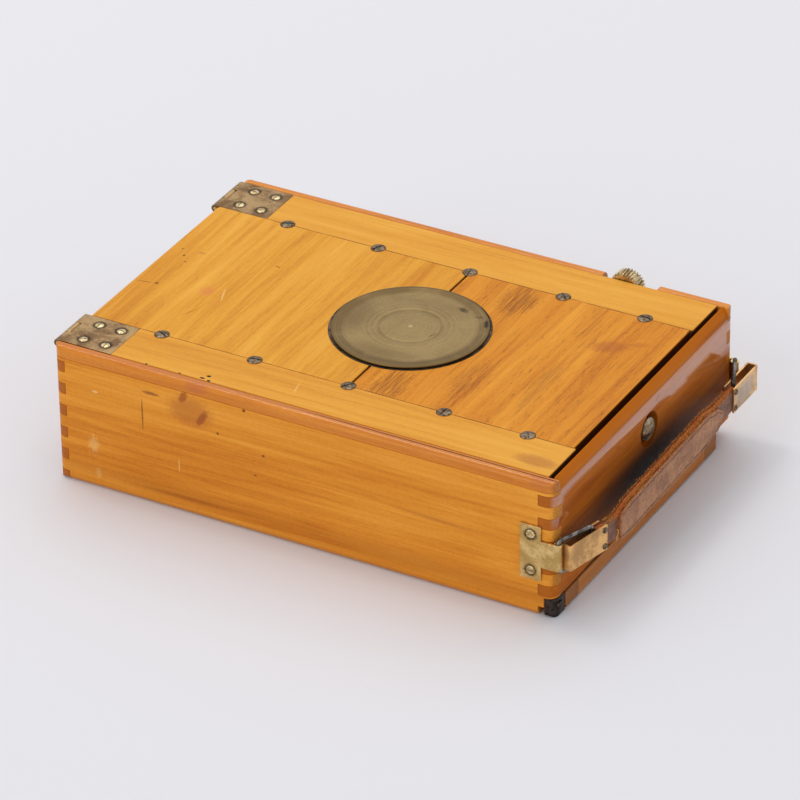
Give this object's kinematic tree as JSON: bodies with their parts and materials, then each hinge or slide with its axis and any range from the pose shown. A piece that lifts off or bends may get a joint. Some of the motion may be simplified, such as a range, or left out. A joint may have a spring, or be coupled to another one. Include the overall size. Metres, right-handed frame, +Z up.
{
  "type": "folding plate camera, closed",
  "caption": "Closed hardwood folding plate camera with brass fittings, round brass cap over the lens opening, fluted focusing knob and leather strap handle.",
  "frame": {"origin": "centre of the case's underside: middle of its length and width, on the plane of the sliding focusing screen's grooves", "axes": "+X to the handle end, hinge end at -X, +Y to the side with the focusing knob, +Z up out of the bed, which is the way the lens looks"},
  "size_m": [0.2353, 0.1552, 0.0629],
  "materials": {
    "honey_hardwood": "french polished",
    "red_hardwood": "french polished",
    "inner_hardwood": "oiled, matt",
    "aged_brass": "lacquered, worn and tarnished",
    "bright_brass": "lacquered",
    "screw_brass": "polished slots, dulled heads",
    "dark_brass": "brown tarnish",
    "black_metal": "worn black lacquer",
    "steel_wire": "dull",
    "brown_leather": "worn, dyed, orange at the cut edges",
    "red_leather": "thin, pleated",
    "ground_glass": "ground on one face",
    "clear_glass": "polished"
  },
  "bodies": {
    "case": {"front_side_wall": "honey_hardwood", "back_side_wall": "honey_hardwood", "hinge_end_wall": "honey_hardwood", "handle_end_wall": "red_hardwood", "side_beads": "honey_hardwood", "slide_runners": "inner_hardwood", "corner_shoe": "black_metal", "back_frame": "inner_hardwood", "hinge_leaves": "aged_brass", "hinge_pins": "dark_brass", "body_rails": "inner_hardwood", "stay_guides": "bright_brass", "bellows": "red_leather", "latch_guide": "bright_brass", "button_spring": "steel_wire", "anchor_plates": "aged_brass", "wall_screws": "screw_brass"},
    "bed": {"door_panel_left": "honey_hardwood", "door_panel_right": "honey_hardwood", "door_rail_front": "honey_hardwood", "door_rail_back": "honey_hardwood", "door_screws": "dark_brass", "hinge_plates": "aged_brass", "hinge_plate_screws": "screw_brass", "lens_opening_ring": "dark_brass", "track_guides": "inner_hardwood", "stay_brackets": "bright_brass", "shaft_bearings": "bright_brass", "door_hook": "bright_brass"},
    "cap": {"lens_cap": "aged_brass"},
    "track": {"focus_track": "inner_hardwood", "focus_racks": "bright_brass"},
    "pinion": {"pinion_shaft": "bright_brass", "focus_knob": "aged_brass"},
    "front_stay": {"stay_front": "bright_brass"},
    "back_stay": {"stay_back": "bright_brass"},
    "latch": {"push_button": "aged_brass", "latch_plate": "bright_brass"},
    "standard": {"standard_frame": "red_hardwood", "standard_foot": "bright_brass"},
    "rising_front": {"lens_board": "honey_hardwood", "lens_flange": "bright_brass", "shutter_case": "black_metal", "lens_barrel": "bright_brass", "rear_cell": "bright_brass", "lens_elements": "clear_glass"},
    "wheel_of_stops": {"stop_wheel": "dark_brass"},
    "lever": {"shutter_lever": "bright_brass"},
    "upper_blade": {"shutter_blade_upper": "black_metal"},
    "lower_blade": {"shutter_blade_lower": "black_metal"},
    "screen": {"screen_stiles": "honey_hardwood", "screen_rails": "honey_hardwood", "ground_glass": "ground_glass", "glass_clips": "bright_brass"},
    "front_link": {"link_front": "steel_wire"},
    "back_link": {"link_back": "steel_wire"},
    "handle": {"strap_clips": "aged_brass", "clip_rivets": "screw_brass", "base_strap": "brown_leather", "strap_cover": "brown_leather"}
  },
  "joints": [
    {"name": "bed_hinge", "type": "hinge", "parent": "case", "child": "bed", "pos_m": [-0.1108, 0, 0.0582], "axis": [0, -1, 0], "range_deg": [0, 90]},
    {"name": "front_stay_pivot", "type": "hinge", "parent": "bed", "child": "front_stay", "pos_m": [-0.04, -0.0678, 0.0485], "axis": [0, 1, 0], "range_deg": [0, 151]},
    {"name": "back_stay_pivot", "type": "hinge", "parent": "bed", "child": "back_stay", "pos_m": [-0.04, 0.0678, 0.0485], "axis": [0, 1, 0], "range_deg": [0, 151]},
    {"name": "cap_lift", "type": "slide", "parent": "bed", "child": "cap", "axis": [0, 0, 1], "range_m": [0, 0.03]},
    {"name": "track_slide", "type": "slide", "parent": "bed", "child": "track", "axis": [1, 0, 0], "range_m": [0, 0.035]},
    {"name": "pinion_turn", "type": "hinge", "parent": "bed", "child": "pinion", "pos_m": [0.064, 0, 0.056], "axis": [0, -1, 0], "range_deg": [0, 803]},
    {"name": "button_press", "type": "slide", "parent": "case", "child": "latch", "axis": [-1, 0, 0], "range_m": [0, 0.0025], "stiffness_N_per_m": 300, "springref_m": -0.002},
    {"name": "standard_draw", "type": "slide", "parent": "case", "child": "standard", "axis": [0, 0, 1], "range_m": [0, 0.003], "deforming": ["bellows"]},
    {"name": "front_rise", "type": "slide", "parent": "standard", "child": "rising_front", "axis": [1, 0, 0], "range_m": [-0.006, 0.006]},
    {"name": "stop_turn", "type": "hinge", "parent": "rising_front", "child": "wheel_of_stops", "pos_m": [0.0068, 0.012, 0.0432], "axis": [0, 0, 1], "continuous": true},
    {"name": "shutter_lever_turn", "type": "hinge", "parent": "rising_front", "child": "lever", "pos_m": [0.0208, -0.017, 0.0387], "axis": [0, 0, 1], "range_deg": [0, 24], "stiffness_Nm_per_rad": 0.02, "springref_deg": -5.73},
    {"name": "upper_blade_turn", "type": "hinge", "parent": "rising_front", "child": "upper_blade", "pos_m": [0.0268, 0.002, 0.0361], "axis": [0, 0, -1], "range_deg": [0, 30.5]},
    {"name": "lower_blade_turn", "type": "hinge", "parent": "rising_front", "child": "lower_blade", "pos_m": [0.0268, -0.002, 0.0373], "axis": [0, 0, 1], "range_deg": [0, 30.5]},
    {"name": "screen_slide", "type": "slide", "parent": "case", "child": "screen", "axis": [1, 0, 0], "range_m": [0, 0.19]},
    {"name": "handle_pull", "type": "slide", "parent": "case", "child": "handle", "axis": [1, 0, 0], "range_m": [0, 0.007]},
    {"name": "front_link_turn", "type": "hinge", "parent": "case", "child": "front_link", "pos_m": [0.1112, -0.0756, 0.0283], "axis": [0, 0, -1], "range_deg": [0, 26]},
    {"name": "back_link_turn", "type": "hinge", "parent": "case", "child": "back_link", "pos_m": [0.1112, 0.0756, 0.0283], "axis": [0, 0, 1], "range_deg": [0, 32]}
  ],
  "couplings": [
    {"joint": "front_stay_pivot", "follows": "bed_hinge", "ratio": 1.6671},
    {"joint": "back_stay_pivot", "follows": "bed_hinge", "ratio": 1.6671},
    {"joint": "pinion_turn", "follows": "track_slide", "rad_per_m": 400},
    {"joint": "upper_blade_turn", "follows": "shutter_lever_turn", "ratio": 1.25},
    {"joint": "lower_blade_turn", "follows": "shutter_lever_turn", "ratio": 1.25},
    {"joint": "front_link_turn", "follows": "handle_pull", "rad_per_m": 61.4},
    {"joint": "back_link_turn", "follows": "handle_pull", "rad_per_m": 76.6}
  ]
}
